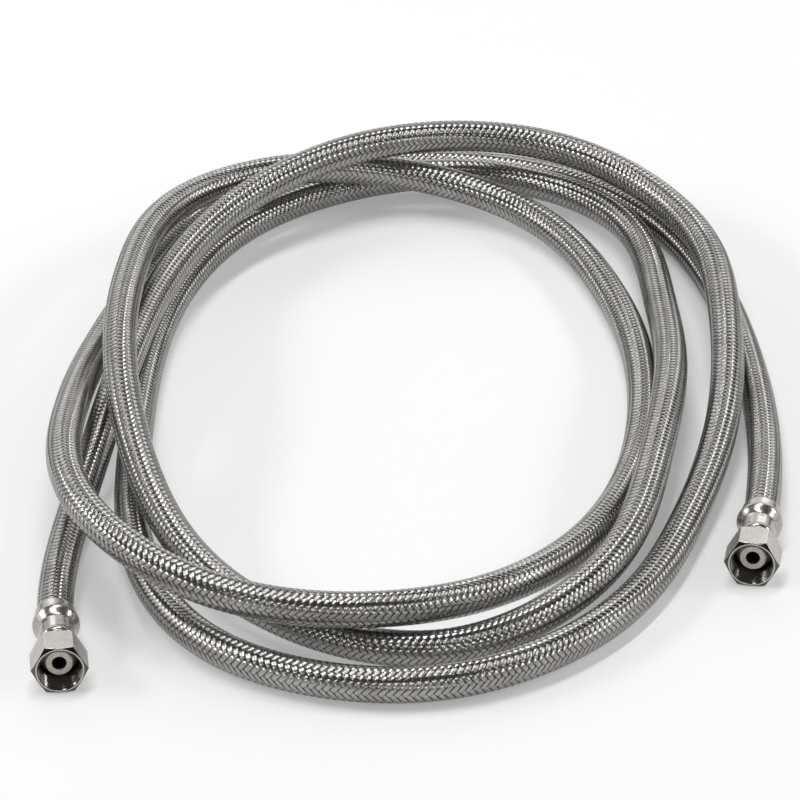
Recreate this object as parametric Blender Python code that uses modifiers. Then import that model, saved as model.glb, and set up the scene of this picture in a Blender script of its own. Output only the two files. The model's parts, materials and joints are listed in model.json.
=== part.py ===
"""Ice maker supply line: a braided hose in a loose oval coil, with a swivel nut on each end.

Metres, +Z up. The floor is z = 0 and the origin is the middle of the coil's footprint. Each end
fitting is built along its own axis, which runs from the nut's mouth (0) back into the hose.
"""

import math

import bmesh
import bpy
import numpy as np
from mathutils import Matrix, Vector

MM = 0.001

# Hose
HOSE_RADIUS = 4.75 * MM
BRAID_WALL = 0.5 * MM
LINER_WALL = 0.7 * MM
LAYER_GAP = 0.3 * MM
CRIMPED_RADIUS = 3.9 * MM
RING_COUNT = 84
HOSE_SIDES = 10

# Coupling nut
HEX_ACROSS_FLATS = 12.7 * MM
NUT_LENGTH = 9.4 * MM
HEX_CHAMFER_ANGLE = math.radians(30)
THREAD_BORE_RADIUS = 5.1 * MM
MOUTH_RADIUS = 5.7 * MM
REAR_LIP = 1.6 * MM

# Cone seal and insert
SEAL_FACE_RADIUS = 3.35 * MM
SEAL_BACK_RADIUS = 3.8 * MM
SEAL_LENGTH = 2.4 * MM
WATERWAY_RADIUS = 1.6 * MM
SEAL_HOLE_RADIUS = 1.8 * MM
FLANGE_RADIUS = 4.75 * MM
FLANGE_LENGTH = 1.0 * MM
NECK_RADIUS = 3.7 * MM
STEM_RADIUS = 2.1 * MM
STEM_LENGTH = 16.5 * MM
BARB_COUNT = 4
BARB_DEPTH = 0.25 * MM

# Ferrule
FERRULE_WALL = 0.45 * MM
FERRULE_LIP = 0.6 * MM
CRIMP_LENGTH = 11.0 * MM
BEAD_RADIUS = 6.1 * MM
BEAD_LENGTH = 3.6 * MM
SKIRT_LENGTH = 3.4 * MM
SKIRT_RADIUS = 5.35 * MM
SKIRT_EDGE = 0.27 * MM

# Fit
SEAT_GAP = 0.3 * MM
CUT_SPARE = 1.0 * MM
ROUND_STEPS = 32
BEAD_STEPS = 5

# Where each nut's mouth lies, and how its axis turns from +Y towards +X
LEFT_MOUTH = (-90.0 * MM, -153.0 * MM)
LEFT_TURN = math.radians(-6)
RIGHT_MOUTH = (86.5 * MM, -98.5 * MM)
RIGHT_TURN = math.radians(9)

# The middle of the coil's footprint in the numbers above and below. The origin is put there.
COIL_MIDDLE = (0.3 * MM, 0.2 * MM)

# The hose's own route between the fittings, in millimetres, chosen by hand: three and a half turns
ROUTE = (
    (-91.0, -66.0, 6.5), (-83.0, -7.0, 13.5), (-73.5, 51.5, 15.5), (-53.0, 101.0, 18.5),
    (-13.5, 132.5, 23.5), (44.0, 137.5, 20.0), (79.5, 96.0, 15.5), (87.5, 41.0, 14.5),
    (84.0, -18.5, 9.0), (70.0, -76.0, 5.0), (47.5, -126.0, 5.0), (1.0, -157.0, 5.0),
    (-48.0, -142.0, 5.0), (-73.5, -89.5, 5.0), (-77.5, -31.5, 5.0), (-76.0, 26.0, 5.0),
    (-66.0, 82.0, 5.0), (-39.0, 129.0, 5.0), (16.0, 146.5, 7.5), (57.5, 119.5, 7.5),
    (70.0, 60.5, 8.0), (70.5, 2.5, 12.5), (63.0, -54.0, 13.0), (46.0, -109.0, 9.5),
    (5.5, -139.0, 5.0), (-45.5, -117.5, 7.5), (-72.5, -67.0, 15.5), (-82.0, -12.5, 24.5),
    (-81.5, 46.5, 23.5), (-67.0, 104.0, 19.5), (-19.5, 135.5, 14.5), (28.5, 123.5, 7.5),
    (54.5, 74.5, 5.0), (63.0, 18.5, 5.0), (59.0, -38.5, 5.0), (40.0, -93.5, 8.0),
    (3.5, -132.5, 14.0), (-47.5, -133.5, 17.0), (-87.5, -95.5, 23.0), (-94.5, -36.5, 19.0),
    (-91.5, 22.5, 7.5), (-80.5, 77.0, 5.0), (-57.0, 130.5, 6.0), (-11.5, 156.0, 5.5),
    (43.5, 147.5, 5.5), (77.0, 105.5, 5.0), (91.0, 48.0, 5.0), (95.0, -12.5, 5.0),
)

# Places along a fitting's axis, from the nut's mouth
LIP_FRONT = NUT_LENGTH - REAR_LIP
FLANGE_BACK = LIP_FRONT - SEAT_GAP
FLANGE_FRONT = FLANGE_BACK - FLANGE_LENGTH
SEAL_BACK = FLANGE_FRONT - SEAT_GAP
SOCKET_DEPTH = SEAL_BACK - SEAL_LENGTH
LIP_HOLE_RADIUS = NECK_RADIUS + SEAT_GAP
FERRULE_FRONT = NUT_LENGTH + SEAT_GAP
CRIMP_START = FERRULE_FRONT + FERRULE_LIP
NECK_BACK = CRIMP_START
CRIMP_END = CRIMP_START + CRIMP_LENGTH
BEAD_END = CRIMP_END + BEAD_LENGTH
FERRULE_END = BEAD_END + SKIRT_LENGTH
HOSE_START = CRIMP_START + SEAT_GAP
HOSE_FULL = BEAD_END
HOSE_FREE = FERRULE_END + SEAT_GAP
LINER_RADIUS = HOSE_RADIUS - BRAID_WALL - LAYER_GAP
CRIMPED_LINER_RADIUS = CRIMPED_RADIUS - BRAID_WALL - LAYER_GAP
FERRULE_BORE = CRIMPED_RADIUS + SEAT_GAP
FERRULE_NECK_RADIUS = FERRULE_BORE + FERRULE_WALL
SKIRT_BORE = HOSE_RADIUS + SEAT_GAP


def clear_scene():
    for obj in list(bpy.data.objects):
        bpy.data.objects.remove(obj)


def new_collection(name):
    collection = bpy.data.collections.new(name)
    bpy.context.scene.collection.children.link(collection)
    return collection


def metal(name, colour, roughness, metallic=1.0):
    """A plain Principled material."""
    material = bpy.data.materials.new(name)
    material.use_nodes = True
    shader = material.node_tree.nodes["Principled BSDF"]
    shader.inputs["Base Color"].default_value = (*colour, 1.0)
    shader.inputs["Roughness"].default_value = roughness
    shader.inputs["Metallic"].default_value = metallic
    return material


def add_object(name, data, collection, parent=None, material=None):
    obj = bpy.data.objects.new(name, data)
    collection.objects.link(obj)
    obj.parent = parent
    if material:
        data.materials.append(material)
    return obj


def turned(name, profile, collection, parent=None, material=None):
    """A closed profile of (radius, place along the axis) turned once round local Z."""
    mesh = bpy.data.meshes.new(name)
    points = [(radius, 0.0, place) for radius, place in profile]
    edges = [(i, (i + 1) % len(points)) for i in range(len(points))]
    mesh.from_pydata(points, edges, [])
    obj = add_object(name, mesh, collection, parent, material)
    screw = obj.modifiers.new("Turn", "SCREW")
    screw.axis = "Z"
    screw.steps = ROUND_STEPS
    screw.render_steps = ROUND_STEPS
    screw.use_merge_vertices = True
    screw.merge_threshold = 0.01 * MM
    screw.use_smooth_shade = True
    return obj


def helper(obj):
    obj.hide_render = True
    obj.display_type = "WIRE"
    return obj


def cut(obj, cutter, operation):
    boolean = obj.modifiers.new(operation.title(), "BOOLEAN")
    boolean.operation = operation
    boolean.solver = "EXACT"
    boolean.object = cutter


def from_middle(mouth):
    """A nut's mouth seen from the origin, at the height of a nut that lies on one flat."""
    return (mouth[0] - COIL_MIDDLE[0], mouth[1] - COIL_MIDDLE[1], HEX_ACROSS_FLATS / 2)


def fitting_frame(name, mouth, turn, collection):
    """An empty at the middle of a nut's mouth, whose local Z runs back along the fitting's axis."""
    empty = bpy.data.objects.new(name, None)
    collection.objects.link(empty)
    back = Vector((math.sin(turn), math.cos(turn), 0.0))
    up = Vector((0.0, 0.0, 1.0))
    side = up.cross(back)
    turn_matrix = Matrix((side, up, back)).transposed().to_4x4()
    empty.matrix_world = Matrix.Translation(from_middle(mouth)) @ turn_matrix
    return empty


def coupling_nut(side, frame, parts, cutters, material):
    """A hexagon with both ends turned to 30 degrees, bored from the mouth, with a lip at the back."""
    corner = HEX_ACROSS_FLATS / math.sqrt(3)
    mesh = bpy.data.meshes.new("coupling_nut_" + side)
    shape = bmesh.new()
    bmesh.ops.create_cone(
        shape, cap_ends=True, segments=6, radius1=corner, radius2=corner, depth=NUT_LENGTH
    )
    bmesh.ops.rotate(shape, verts=shape.verts, matrix=Matrix.Rotation(math.radians(30), 3, "Z"))
    bmesh.ops.translate(shape, verts=shape.verts, vec=(0, 0, NUT_LENGTH / 2))
    shape.to_mesh(mesh)
    shape.free()
    nut = add_object("coupling_nut_" + side, mesh, parts, frame, material)

    rise = (corner - HEX_ACROSS_FLATS / 2) * math.tan(HEX_CHAMFER_ANGLE)
    slope = math.tan(HEX_CHAMFER_ANGLE)
    blank = turned(
        "chamfer_blank_" + side,
        [
            (0.0, NUT_LENGTH),
            (HEX_ACROSS_FLATS / 2, NUT_LENGTH),
            (corner + CUT_SPARE, NUT_LENGTH - rise - CUT_SPARE * slope),
            (corner + CUT_SPARE, rise + CUT_SPARE * slope),
            (HEX_ACROSS_FLATS / 2, 0.0),
            (0.0, 0.0),
        ],
        cutters,
        frame,
    )
    cut(nut, helper(blank), "INTERSECT")

    lead = MOUTH_RADIUS - THREAD_BORE_RADIUS
    bore = turned(
        "nut_bore_" + side,
        [
            (0.0, NUT_LENGTH + CUT_SPARE),
            (LIP_HOLE_RADIUS, NUT_LENGTH + CUT_SPARE),
            (LIP_HOLE_RADIUS, LIP_FRONT),
            (THREAD_BORE_RADIUS, LIP_FRONT),
            (THREAD_BORE_RADIUS, lead),
            (MOUTH_RADIUS, 0.0),
            (MOUTH_RADIUS, -CUT_SPARE),
            (0.0, -CUT_SPARE),
        ],
        cutters,
        frame,
    )
    cut(nut, helper(bore), "DIFFERENCE")
    return nut


def cone_seal(side, frame, parts, material):
    """The pale ring deep in the nut, whose front edge slopes to meet the valve's seat."""
    return turned(
        "cone_seal_" + side,
        [
            (SEAL_HOLE_RADIUS, SEAL_BACK),
            (SEAL_BACK_RADIUS, SEAL_BACK),
            (SEAL_BACK_RADIUS, SEAL_BACK - SEAL_LENGTH / 3),
            (SEAL_FACE_RADIUS, SOCKET_DEPTH),
            (SEAL_HOLE_RADIUS, SOCKET_DEPTH),
        ],
        parts,
        frame,
        material,
    )


def insert(side, frame, parts, material):
    """The turned stem: a flange that holds the nut on, a neck through its lip, and barbs for the liner."""
    stem_end = NECK_BACK + STEM_LENGTH
    pitch = STEM_LENGTH / (BARB_COUNT + 1)
    barbs = []
    for i in range(BARB_COUNT, 0, -1):
        place = NECK_BACK + i * pitch
        barbs += [(STEM_RADIUS - BARB_DEPTH, place + pitch / 2), (STEM_RADIUS, place - pitch / 4)]
        barbs += [(STEM_RADIUS - BARB_DEPTH, place - pitch / 4 - BARB_DEPTH)]
    profile = [(WATERWAY_RADIUS, stem_end), (STEM_RADIUS - BARB_DEPTH, stem_end)]
    profile += barbs
    profile += [
        (STEM_RADIUS - BARB_DEPTH, NECK_BACK),
        (NECK_RADIUS, NECK_BACK),
        (NECK_RADIUS, FLANGE_BACK),
        (FLANGE_RADIUS, FLANGE_BACK),
        (FLANGE_RADIUS, FLANGE_FRONT),
        (WATERWAY_RADIUS, FLANGE_FRONT),
    ]
    return turned("insert_" + side, profile, parts, frame, material)


def ferrule(side, frame, parts, material):
    """The crimped sleeve: an inner lip at the nut, a straight neck, a rounded bead and a tapered skirt."""
    bead_middle = (CRIMP_END + BEAD_END) / 2
    half = BEAD_LENGTH / 2
    swell = BEAD_RADIUS - SKIRT_RADIUS
    bead_outside = []
    for i in range(BEAD_STEPS + 1):
        angle = math.pi * i / BEAD_STEPS
        place = bead_middle + half * math.cos(angle)
        bead_outside.append((SKIRT_RADIUS + swell * math.sin(angle), place))
    profile = [(SKIRT_BORE, FERRULE_END), (SKIRT_BORE + SKIRT_EDGE, FERRULE_END)]
    profile += bead_outside
    profile += [
        (FERRULE_NECK_RADIUS, CRIMP_END - half / 2),
        (FERRULE_NECK_RADIUS, FERRULE_FRONT),
        (LIP_HOLE_RADIUS, FERRULE_FRONT),
        (LIP_HOLE_RADIUS, CRIMP_START),
        (FERRULE_BORE, CRIMP_START),
        (FERRULE_BORE, CRIMP_END),
        (SKIRT_BORE, bead_middle),
    ]
    return turned("ferrule_" + side, profile, parts, frame, material)


def on_axis(mouth, turn, place):
    """A point on a fitting's axis, this far back from the nut's mouth."""
    along = np.array([math.sin(turn), math.cos(turn), 0.0])
    return np.array(from_middle(mouth)) + place * along


def smooth_curve(points, samples):
    """A natural cubic spline through the points, with the length of their chords as its parameter."""
    chord = np.r_[0.0, np.cumsum(np.linalg.norm(np.diff(points, axis=0), axis=1))]
    step = np.diff(chord)
    slope = np.diff(points, axis=0) / step[:, None]
    size = len(points)
    system = np.eye(size)
    load = np.zeros((size, 3))
    for i in range(1, size - 1):
        system[i, i - 1 : i + 2] = step[i - 1], 2 * (step[i - 1] + step[i]), step[i]
        load[i] = 6 * (slope[i] - slope[i - 1])
    bend = np.linalg.solve(system, load)
    at = np.linspace(0.0, chord[-1], samples)
    i = np.clip(np.searchsorted(chord, at, side="right") - 1, 0, size - 2)
    before = (at - chord[i])[:, None]
    after = (chord[i + 1] - at)[:, None]
    span = step[i][:, None]
    bent = (bend[i] * after**3 + bend[i + 1] * before**3) / (6 * span)
    straight = (points[i] / span - bend[i] * span / 6) * after
    return bent + straight + (points[i + 1] / span - bend[i + 1] * span / 6) * before


def spread_points(curve, count):
    """Points of the curve, set closer together where it bends more."""
    step = np.linalg.norm(np.diff(curve, axis=0), axis=1)
    tangent = np.diff(curve, axis=0) / step[:, None]
    bend = np.linalg.norm(np.diff(tangent, axis=0), axis=1) / step[1:]
    bend = np.r_[bend[0], bend, bend[-1]]
    least_bend = 2.0  # one turn in 3 m
    weight = np.sqrt(bend + least_bend)
    share = np.r_[0.0, np.cumsum((weight[1:] + weight[:-1]) / 2 * step)]
    at = np.interp(np.linspace(0.0, share[-1], count), share, np.arange(len(curve)))
    return np.stack([np.interp(at, np.arange(len(curve)), curve[:, k]) for k in range(3)], axis=1)


def hose_line():
    """Points of the hose's middle line and, for each, its share of the way from crimped (0) to full (1)."""
    places = (HOSE_START, CRIMP_END, HOSE_FULL, HOSE_FREE)
    left = [on_axis(LEFT_MOUTH, LEFT_TURN, place) for place in places]
    right = [on_axis(RIGHT_MOUTH, RIGHT_TURN, place) for place in reversed(places)]
    lead = [on_axis(LEFT_MOUTH, LEFT_TURN, HOSE_FREE), on_axis(RIGHT_MOUTH, RIGHT_TURN, HOSE_FREE)]
    # The spline also runs through both crimps, so that it leaves the ferrules straight.
    own = np.array(ROUTE) * MM - (*COIL_MIDDLE, 0.0)
    points = np.vstack([left[0], lead[0], own, lead[1], right[-1]])
    curve = smooth_curve(points, 3000)
    past_left = np.linalg.norm(curve - lead[0], axis=1).argmin()
    past_right = np.linalg.norm(curve - lead[1], axis=1).argmin()
    free = spread_points(curve[past_left : past_right + 1], RING_COUNT - 2 * (len(places) - 1))
    line = np.vstack([left[:-1], free, right[1:]])
    fullness = np.ones(len(line))
    fullness[[0, 1, -2, -1]] = 0.0
    return line, fullness


def hose_tube(name, radius, crimped_radius, wall, parts, material):
    """An open tube along the hose's line, squeezed in at the crimps, with its wall inwards."""
    line, fullness = hose_line()
    curve = bpy.data.curves.new(name, "CURVE")
    curve.dimensions = "3D"
    curve.twist_mode = "MINIMUM"
    curve.bevel_depth = radius
    curve.bevel_resolution = (HOSE_SIDES - 4) // 2
    curve.use_fill_caps = False
    spline = curve.splines.new("POLY")
    spline.points.add(len(line) - 1)
    spline.points.foreach_set("co", np.c_[line, np.ones(len(line))].ravel())
    squeeze = crimped_radius / radius
    spline.points.foreach_set("radius", squeeze + (1 - squeeze) * fullness)
    tube = add_object(name, curve, parts, None, material)
    shell = tube.modifiers.new("Wall", "SOLIDIFY")
    shell.thickness = wall
    shell.offset = -1.0
    shell.use_even_offset = False
    return tube


def main():
    clear_scene()
    parts = new_collection("ice_maker_supply_line")
    cutters = new_collection("cutters")
    cutters.hide_render = True

    braid = metal("braided_stainless", (0.42, 0.42, 0.41), 0.35)
    liner = metal("white_liner", (0.80, 0.80, 0.78), 0.5, metallic=0.0)
    nickel = metal("nickel_plate", (0.62, 0.60, 0.57), 0.3)
    pressed = metal("pressed_stainless", (0.55, 0.54, 0.52), 0.35)
    brass = metal("turned_brass", (0.70, 0.55, 0.28), 0.35)
    seal = metal("pale_seal", (0.62, 0.60, 0.55), 0.6, metallic=0.0)

    hose_tube("braided_sleeve", HOSE_RADIUS, CRIMPED_RADIUS, BRAID_WALL, parts, braid)
    hose_tube("inner_tube", LINER_RADIUS, CRIMPED_LINER_RADIUS, LINER_WALL, parts, liner)
    ends = (("left", LEFT_MOUTH, LEFT_TURN), ("right", RIGHT_MOUTH, RIGHT_TURN))
    for side, mouth, turn in ends:
        frame = fitting_frame("fitting_axis_" + side, mouth, turn, parts)
        coupling_nut(side, frame, parts, cutters, nickel)
        cone_seal(side, frame, parts, seal)
        insert(side, frame, parts, brass)
        ferrule(side, frame, parts, pressed)


main()
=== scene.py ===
"""Dresses the packed ice maker supply line: a woven wire sleeve, threaded swivel nuts, crimped
ferrules and pale cone seals, on a white floor under soft panels of light.

Metres, +Z up. The floor is z = 0 and the origin is the middle of the coil's footprint. A fitting
is built along its own axis, from the nut's mouth (0) back into the hose. Angles round an axis
start at the fitting's side and turn through its upper side.
"""

import json
import math

import bpy
import numpy as np
from bpy.props import FloatProperty, FloatVectorProperty, IntProperty, PointerProperty
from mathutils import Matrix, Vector


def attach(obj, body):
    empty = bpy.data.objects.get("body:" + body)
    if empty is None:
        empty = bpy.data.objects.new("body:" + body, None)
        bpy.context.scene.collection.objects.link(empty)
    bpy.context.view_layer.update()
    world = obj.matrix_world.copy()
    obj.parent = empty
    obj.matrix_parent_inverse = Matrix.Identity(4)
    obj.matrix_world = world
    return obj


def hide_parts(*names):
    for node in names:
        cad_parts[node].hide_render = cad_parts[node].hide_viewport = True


bl_info = {
    "name": "Ice maker supply line",
    "version": (1, 0, 0),
    "blender": (4, 5, 0),
    "location": "3D View > Sidebar > Supply line",
    "description": "Woven hose, swivel nuts, ferrules and seals of an ice maker supply line",
    "category": "Object",
}

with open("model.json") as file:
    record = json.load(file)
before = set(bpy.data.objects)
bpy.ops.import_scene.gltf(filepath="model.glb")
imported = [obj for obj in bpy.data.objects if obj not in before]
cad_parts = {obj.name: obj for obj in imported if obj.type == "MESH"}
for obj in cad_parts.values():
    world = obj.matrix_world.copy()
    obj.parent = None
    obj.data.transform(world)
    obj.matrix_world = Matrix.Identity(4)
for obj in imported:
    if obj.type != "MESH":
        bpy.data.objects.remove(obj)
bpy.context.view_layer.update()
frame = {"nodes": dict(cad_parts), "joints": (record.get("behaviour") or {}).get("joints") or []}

MM = 0.001
SIDES = ("left", "right")
JOINTS = {joint["name"].split("_")[0]: joint for joint in frame["joints"]}
HOSE_BODY = "hose"

# The middle of the coil's footprint in the numbers below. The origin is put there.
COIL_MIDDLE = (0.3, 0.2)

# The hose's own route between the fittings, in millimetres: three and a half turns
ROUTE = (
    (-91.0, -66.0, 6.5), (-83.0, -7.0, 13.5), (-73.5, 51.5, 15.5), (-53.0, 101.0, 18.5),
    (-13.5, 132.5, 23.5), (44.0, 137.5, 20.0), (79.5, 96.0, 15.5), (87.5, 41.0, 14.5),
    (84.0, -18.5, 9.0), (70.0, -76.0, 5.0), (47.5, -126.0, 5.0), (1.0, -157.0, 5.0),
    (-48.0, -142.0, 5.0), (-73.5, -89.5, 5.0), (-77.5, -31.5, 5.0), (-76.0, 26.0, 5.0),
    (-66.0, 82.0, 5.0), (-39.0, 129.0, 5.0), (16.0, 146.5, 7.5), (57.5, 119.5, 7.5),
    (70.0, 60.5, 8.0), (70.5, 2.5, 12.5), (63.0, -54.0, 13.0), (46.0, -109.0, 9.5),
    (5.5, -139.0, 5.0), (-45.5, -117.5, 7.5), (-72.5, -67.0, 15.5), (-82.0, -12.5, 24.5),
    (-81.5, 46.5, 23.5), (-67.0, 104.0, 19.5), (-19.5, 135.5, 14.5), (28.5, 123.5, 7.5),
    (54.5, 74.5, 5.0), (63.0, 18.5, 5.0), (59.0, -38.5, 5.0), (40.0, -93.5, 8.0),
    (3.5, -132.5, 14.0), (-47.5, -133.5, 17.0), (-87.5, -95.5, 23.0), (-94.5, -36.5, 19.0),
    (-91.5, 22.5, 7.5), (-80.5, 77.0, 5.0), (-57.0, 130.5, 6.0), (-11.5, 156.0, 5.5),
    (43.5, 147.5, 5.5), (77.0, 105.5, 5.0), (91.0, 48.0, 5.0), (95.0, -12.5, 5.0),
)

# The braid's weave. Places along a bundle are counted in crossings, and the weave repeats every
# four: over two bundles, then under two. A bundle is level where its wave passes LEVEL_ABOVE, its
# crown falls off by CROWN_POWER, and BRAID_TUCK of it hides under the ferrule's bead.
CARRIERS = 12
REPEAT = 4.0
ROW_PLACES = (-0.3, 0.2, 0.8, 1.3, 1.8, 3.2)
ACROSS_PLACES = (-1.0, -0.5, 0.5, 1.0)
LEVEL_ABOVE = 0.6
CROWN_POWER = 2.2
BRAID_TUCK = 1.6 * MM

# Places along a fitting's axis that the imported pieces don't show
SEAT_GAP = 0.3 * MM
FERRULE_LIP = 0.6 * MM
CRIMP_LENGTH = 11.0 * MM
BEAD_LENGTH = 3.6 * MM

# The hose's layers, full and crimped: a dark tube of painted shade under the weave, and the liner
CRIMPED_SHADE_TUBE = 3.4 * MM
SHADE_TUBE_WALL = 0.15 * MM
SHADE_TUBE_STEP = 3.0 * MM
LINER_RADIUS = 3.95 * MM
CRIMPED_LINER = 3.1 * MM
LINER_WALL = 0.7 * MM
LINER_STEP = 4.0 * MM
LAYER_COLUMNS = 16

# The nut's outline and roundings
HEX_HALF = math.pi / 6
CORNER_FILLET = 0.22 * MM
CORNER_POINTS = 5
FLAT_POINTS = 15
FLAT_REACH = 0.97
EDGE_ROUNDING = 0.1 * MM
EDGE_SHARE = 0.4
FACE_ROUNDING = 0.04 * MM
RIM_STEP = 0.06 * MM
NO_LENGTH = 1e-12

# The nut's thread: how far from the lip it starts and fades in, and its profile's straight share
THREAD_ROWS = 78
THREAD_START = 0.3 * MM
THREAD_FADE = (0.2 * MM, 1.0 * MM)
THREAD_STRAIGHT = 0.6

# Painted shade: how far the metal is darkened in the cuts and bores, from 0 (none) to 1 (black), and
# the near-black colour mixed in
CUT_SHADE = 0.8
BORE_SHADE = 0.6
INSIDE_SHADE = 0.7
PAINTED_SHADE_COLOUR = (0.02, 0.018, 0.016, 1.0)

# The ferrule's outline: radii, and places along the fitting's axis
FRONT, COLLAR, NECK, PRESSED = 4.3 * MM, 5.0 * MM, 4.78 * MM, 4.68 * MM
BEAD_TOP, SKIRT, FLARE = 6.1 * MM, 5.3 * MM, 0.06 * MM
FERRULE_BORE, SKIRT_BORE = 4.2 * MM, 5.05 * MM
SHOULDER_START, SHOULDER_END = 12.9 * MM, 14.1 * MM
NECK_START, COLLAR_END = 14.4 * MM, 15.2 * MM
PRESS_END, NECK_END, BEAD_START = 18.6 * MM, 19.8 * MM, 20.0 * MM
SHOULDER_STEPS, NECK_STEPS, RISE_STEPS, FALL_STEPS = 9, 12, 12, 9
SKIRT_SHARES = (0.3, 0.7, 0.92)
SKIRT_RIM = ((0.03 * MM, 0.08 * MM), (0.12 * MM, 0.0))
SKIRT_INSIDE = 0.05 * MM
COLUMNS_PER_FACE = 12

# The seal
SEAL_COLUMNS = 64
SEAL_HOLE, SEAL_FACE, SEAL_EDGE = 1.8 * MM, 3.35 * MM, 3.8 * MM
HOLE_ROUNDING, SEAL_ROUNDING = 0.12 * MM, 0.1 * MM
# Painted shade darkens the seal's hole, out to this radius and by this much
HOLE_SHADE_END = 1.95 * MM
HOLE_SHADE = 0.95

# Turned surfaces: roughness and how far it varies, then rings, grain and grain share, then relief
NICKEL_FINISH = (0.27, 0.05, (7000.0, 3500.0, 0.6), 0.004 * MM)
PRESSED_FINISH = (0.25, 0.03, (3000.0, 2600.0, 0.6), 0.0012 * MM)
BRASS_FINISH = (0.3, 0.05, (6000.0, 2000.0, 0.3), 0.02 * MM)
SEAL_MARKS, SEAL_RELIEF = (4000.0, 3000.0, 0.8), 0.05 * MM
TONE_CHANGES = 120.0

# The stage. A panel of light has a name, a place, a width, a height and a brightness.
PAPER_RELIEF = 0.02 * MM
FLOOR_REACH = 8.0
FLOOR_DROP = 0.2 * MM
FLOOR_COLOUR = (0.66, 0.66, 0.66)
FLOOR_GLOW = 0.25
SKY_GLOW = 0.08
LIGHT_AIM = (0.0, 0.0, 0.01)
LIGHTS = (
    ("top_panel", (-0.15, 0.1, 1.45), 1.4, 0.2, 13.5),
    ("left_panel", (-1.3, 0.0, 0.85), 0.7, 0.22, 11.0),
    ("right_panel", (1.3, 0.1, 0.85), 0.7, 0.22, 9.0),
    ("left_front_panel", (-1.2, -0.75, 0.65), 0.15, 0.15, 18.0),
    ("right_front_panel", (1.2, -0.75, 0.65), 0.15, 0.15, 18.0),
    ("back_wall", (0.0, 2.0, 0.9), 3.4, 1.6, 1.0),
    ("left_wall", (-2.2, 0.2, 0.8), 2.6, 1.4, 1.1),
    ("right_wall", (2.2, 0.2, 0.8), 2.6, 1.4, 0.9),
    ("front_panel", (0.1, -1.4, 0.8), 0.6, 0.14, 12.0),
    ("right_back_panel", (0.55, 1.3, 0.75), 0.6, 0.35, 1.5),
    ("left_back_panel", (-0.55, 1.3, 0.75), 0.5, 0.35, 1.5),
)
CAMERA_PLACE = (-0.0053, -1.1614, 0.5960)
CAMERA_AIM = (-0.0053, 0.0083, 0.0)
LENS_MM = 210.0
SENSOR_MM = 36.0
CLIP_NEAR, CLIP_FAR = 0.05, 50.0


class HoseSettings(bpy.types.PropertyGroup):
    """Sizes of the hose and its weave."""

    diameter: FloatProperty(
        name="Diameter", description="Outside the weave", default=9.5 * MM, unit="LENGTH"
    )
    length: FloatProperty(
        name="Length", description="Along the middle line", default=2.83, unit="LENGTH"
    )
    # Painted shade: the dark tube under the weave stands for the shaded wires and liner, and is no real
    # layer
    shade_tube_radius: FloatProperty(
        name="Core radius", description="Dark layer under the weave",
        default=4.15 * MM, unit="LENGTH",
    )
    lead: FloatProperty(
        name="Lead", description="Length of one turn of a bundle", default=22.3 * MM, unit="LENGTH"
    )
    bundle_share: FloatProperty(
        name="Bundle width", description="Share of the room between bundles",
        default=0.86, subtype="FACTOR",
    )
    weave_depth: FloatProperty(
        name="Weave depth", description="From an under to an over stretch",
        default=0.3 * MM, unit="LENGTH",
    )
    crown: FloatProperty(
        name="Crown", description="Height of a bundle's middle over its edges",
        default=0.14 * MM, unit="LENGTH",
    )
    twist: FloatProperty(
        name="Twist", description="How far the weave turns round in a metre",
        default=5.2, subtype="ANGLE",
    )


class FittingSettings(bpy.types.PropertyGroup):
    """Sizes of the nuts, ferrules and seals."""

    chamfer: FloatProperty(
        name="Chamfer", description="Slope of the nut's turned ends",
        default=math.radians(30), subtype="ANGLE",
    )
    chamfer_start: FloatProperty(
        name="Chamfer start", description="Share of the across-flats radius",
        default=0.96, subtype="FACTOR",
    )
    mouth_radius: FloatProperty(
        name="Mouth radius", description="Where the thread's lead-in ends",
        default=5.8 * MM, unit="LENGTH",
    )
    thread_inner: FloatProperty(
        name="Thread inner radius", description="At the crests", default=5.1 * MM, unit="LENGTH"
    )
    thread_depth: FloatProperty(
        name="Thread depth", description="From crest to root", default=0.52 * MM, unit="LENGTH"
    )
    thread_pitch: FloatProperty(
        name="Thread pitch", description="24 threads to the inch", default=25.4 / 24 * MM, unit="LENGTH"
    )
    rear_lip: FloatProperty(
        name="Rear lip", description="Thickness of the nut's back", default=1.6 * MM, unit="LENGTH"
    )
    lip_hole: FloatProperty(
        name="Lip hole radius", description="Hole in the nut's back", default=4.0 * MM, unit="LENGTH"
    )
    crimp_faces: IntProperty(name="Crimp faces", description="Jaws of the crimping die", default=8)


class FinishSettings(bpy.types.PropertyGroup):
    """Colours of the finishes."""

    wire: FloatVectorProperty(
        name="Wire", description="Stainless wire", default=(0.45, 0.44, 0.425), subtype="COLOR"
    )
    # Painted shade: the near-black colour of the tube that stands for the shade under the weave
    shade: FloatVectorProperty(
        name="Under the weave", description="Shaded wire and liner",
        default=(0.05, 0.05, 0.048), subtype="COLOR",
    )
    nickel: FloatVectorProperty(
        name="Nickel plate", description="Swivel nuts",
        default=(0.51, 0.493, 0.467), subtype="COLOR",
    )
    pressed: FloatVectorProperty(
        name="Pressed steel", description="Ferrules", default=(0.46, 0.442, 0.415), subtype="COLOR"
    )
    seal: FloatVectorProperty(
        name="Seal", description="Cone seals", default=(0.86, 0.82, 0.72), subtype="COLOR"
    )
    # Painted shade: the inserts' brass is darkened to near black, as they sit in shade deep in the nuts
    shaded_brass: FloatVectorProperty(
        name="Brass", description="Turned inserts", default=(0.13, 0.105, 0.07), subtype="COLOR"
    )
    liner: FloatVectorProperty(
        name="Liner", description="Inner tube", default=(0.72, 0.72, 0.70), subtype="COLOR"
    )


def unit(vectors):
    """Each vector of an array, at length 1."""
    return vectors / np.linalg.norm(vectors, axis=-1, keepdims=True)


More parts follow.
